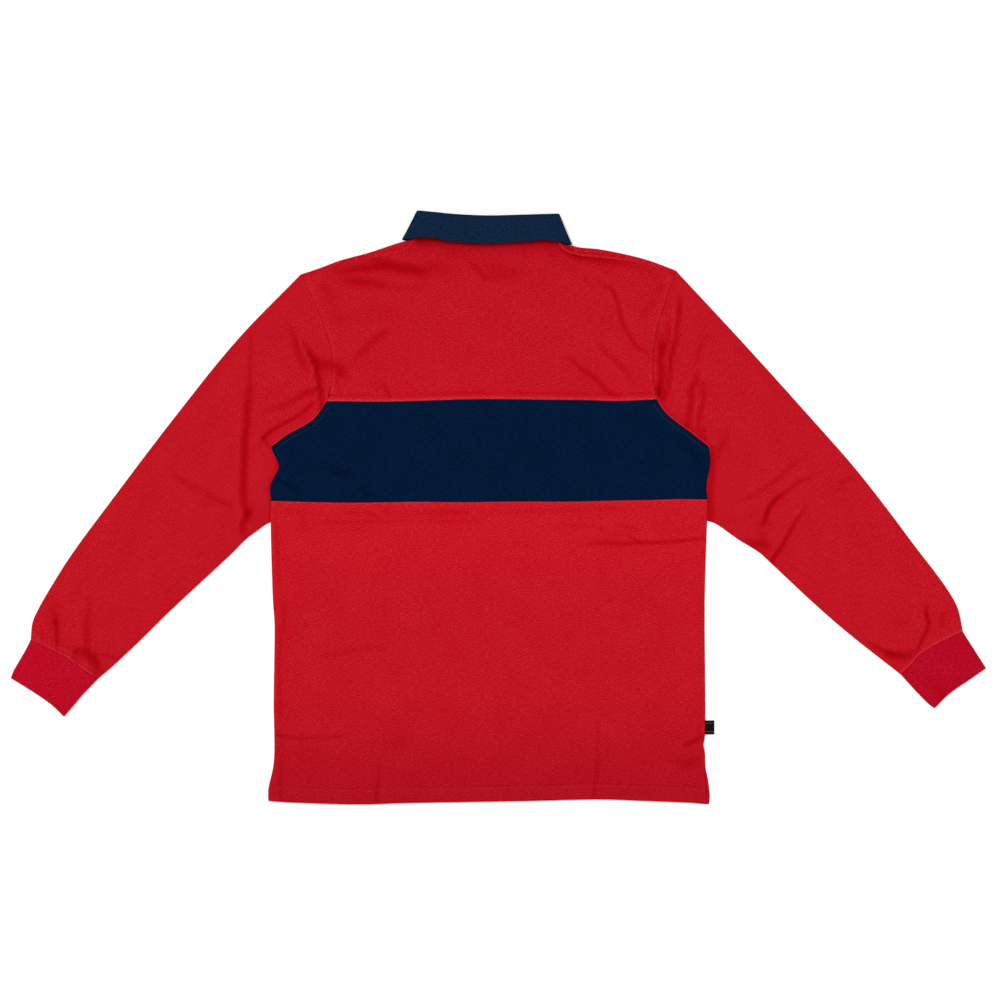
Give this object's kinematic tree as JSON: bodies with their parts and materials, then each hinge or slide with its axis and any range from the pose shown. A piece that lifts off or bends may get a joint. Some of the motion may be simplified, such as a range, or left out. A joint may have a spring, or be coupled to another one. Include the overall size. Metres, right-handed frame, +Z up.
{
  "type": "rugby shirt",
  "caption": "Long-sleeved rugby shirt laid flat with its back up: red jersey, navy chest band, navy twill collar, ribbed cuffs and a turned hem.",
  "frame": {"origin": "on the surface that the shirt lies on, under the middle of its outline", "axes": "+X to the right across the sleeves as the shirt is seen from above, +Y from hem to collar, +Z up out of the surface"},
  "size_m": [1.267, 0.772, 0.0095],
  "materials": {
    "red_jersey": "matte heavy cotton jersey, fine knit with soft wrinkles",
    "navy_jersey": "matte heavy cotton jersey, fine knit",
    "red_rib": "matte knitted rib, 1 by 1",
    "navy_twill": "matte cotton twill with a fine diagonal line",
    "dark_rubber": "smooth satin rubber",
    "black_tab": "closely woven tape"
  },
  "bodies": {
    "root": {"front_upper": "red_jersey", "front_band": "navy_jersey", "front_lower": "red_jersey", "back_upper": "red_jersey", "back_band": "navy_jersey", "back_lower": "red_jersey", "sleeve_left": "red_jersey", "sleeve_right": "red_jersey", "cuff_left": "red_rib", "cuff_right": "red_rib", "collar": "navy_twill", "placket": "navy_twill", "button_1": "dark_rubber", "button_2": "dark_rubber", "button_3": "dark_rubber", "side_label": "black_tab"}
  },
  "joints": []
}
